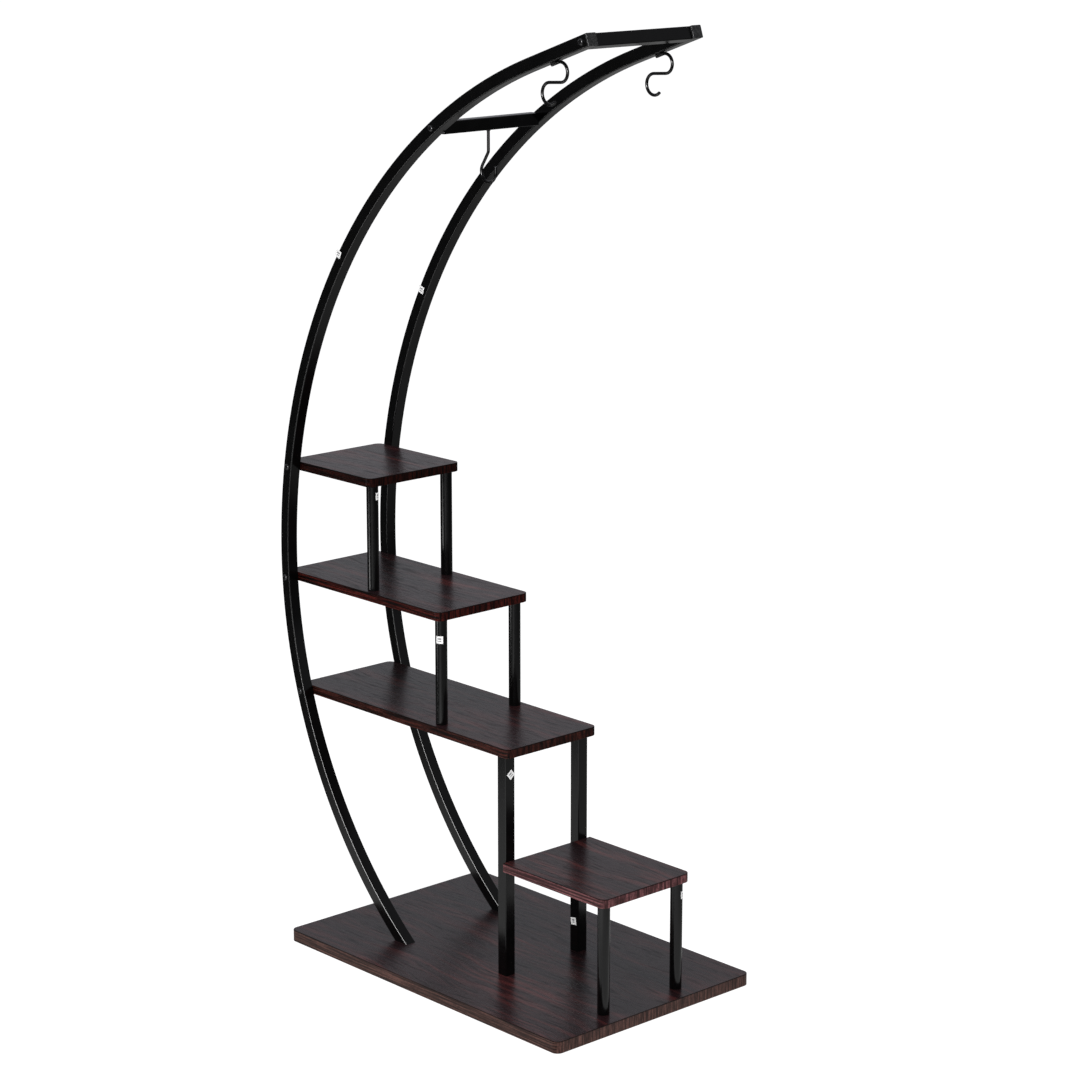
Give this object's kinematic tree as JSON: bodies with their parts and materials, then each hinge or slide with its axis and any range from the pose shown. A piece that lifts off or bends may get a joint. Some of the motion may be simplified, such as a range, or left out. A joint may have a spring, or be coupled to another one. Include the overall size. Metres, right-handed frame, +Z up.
{
  "type": "plant stand",
  "caption": "Arched plant stand: curved square-tube rails rise from a wood-look base board, with stepped shelves on posts, a low side shelf and welded wire hooks for hanging pots.",
  "frame": {"origin": "middle of the base board's underside, on the floor", "axes": "+Z up; +X along the base board's length, the way the rails' tips reach; -Y is the front, seen in the picture"},
  "size_m": [0.8048, 0.43, 1.5566],
  "materials": {
    "black_tube": "gloss black powder coat",
    "board_laminate": "dark red-brown wood-look laminate, satin",
    "edge_band": "red-brown edge banding, satin",
    "black_cap": "black moulded plastic",
    "black_screw": "black oxide",
    "zinc_steel": "zinc plated"
  },
  "bodies": {
    "root": {"rail_lower_front": "black_tube", "rail_lower_rear": "black_tube", "rail_upper_front": "black_tube", "rail_upper_rear": "black_tube", "crossbar_top": "black_tube", "crossbar_second": "black_tube", "hook_front": "black_tube", "hook_rear": "black_tube", "hook_crossbar": "black_tube", "post_top_front": "black_tube", "post_top_rear": "black_tube", "post_middle_front": "black_tube", "post_middle_rear": "black_tube", "leg_side_front": "black_tube", "leg_side_rear": "black_tube", "post_tall_front": "black_tube", "post_tall_rear": "black_tube", "base_board": "board_laminate", "shelf_top": "board_laminate", "shelf_middle": "board_laminate", "shelf_lower": "board_laminate", "side_shelf": "board_laminate", "base_board_edge_band": "edge_band", "shelf_top_edge_band": "edge_band", "shelf_middle_edge_band": "edge_band", "shelf_lower_edge_band": "edge_band", "side_shelf_edge_band": "edge_band", "rail_cap_front": "black_cap", "rail_cap_rear": "black_cap", "shelf_screws": "black_screw", "crossbar_screws": "black_screw", "side_shelf_screws": "black_screw", "rail_sleeve_front": "zinc_steel", "rail_sleeve_rear": "zinc_steel", "rail_foot_plug_front": "zinc_steel", "rail_foot_plug_rear": "zinc_steel", "crossbar_plugs": "zinc_steel", "round_post_plugs": "zinc_steel", "square_post_plugs": "zinc_steel", "shelf_edge_inserts": "zinc_steel", "side_shelf_inserts": "zinc_steel", "underside_inserts": "zinc_steel", "post_studs": "zinc_steel", "base_bolts": "zinc_steel", "rail_foot_bolts": "zinc_steel", "shelf_bolts": "zinc_steel"}
  },
  "joints": []
}
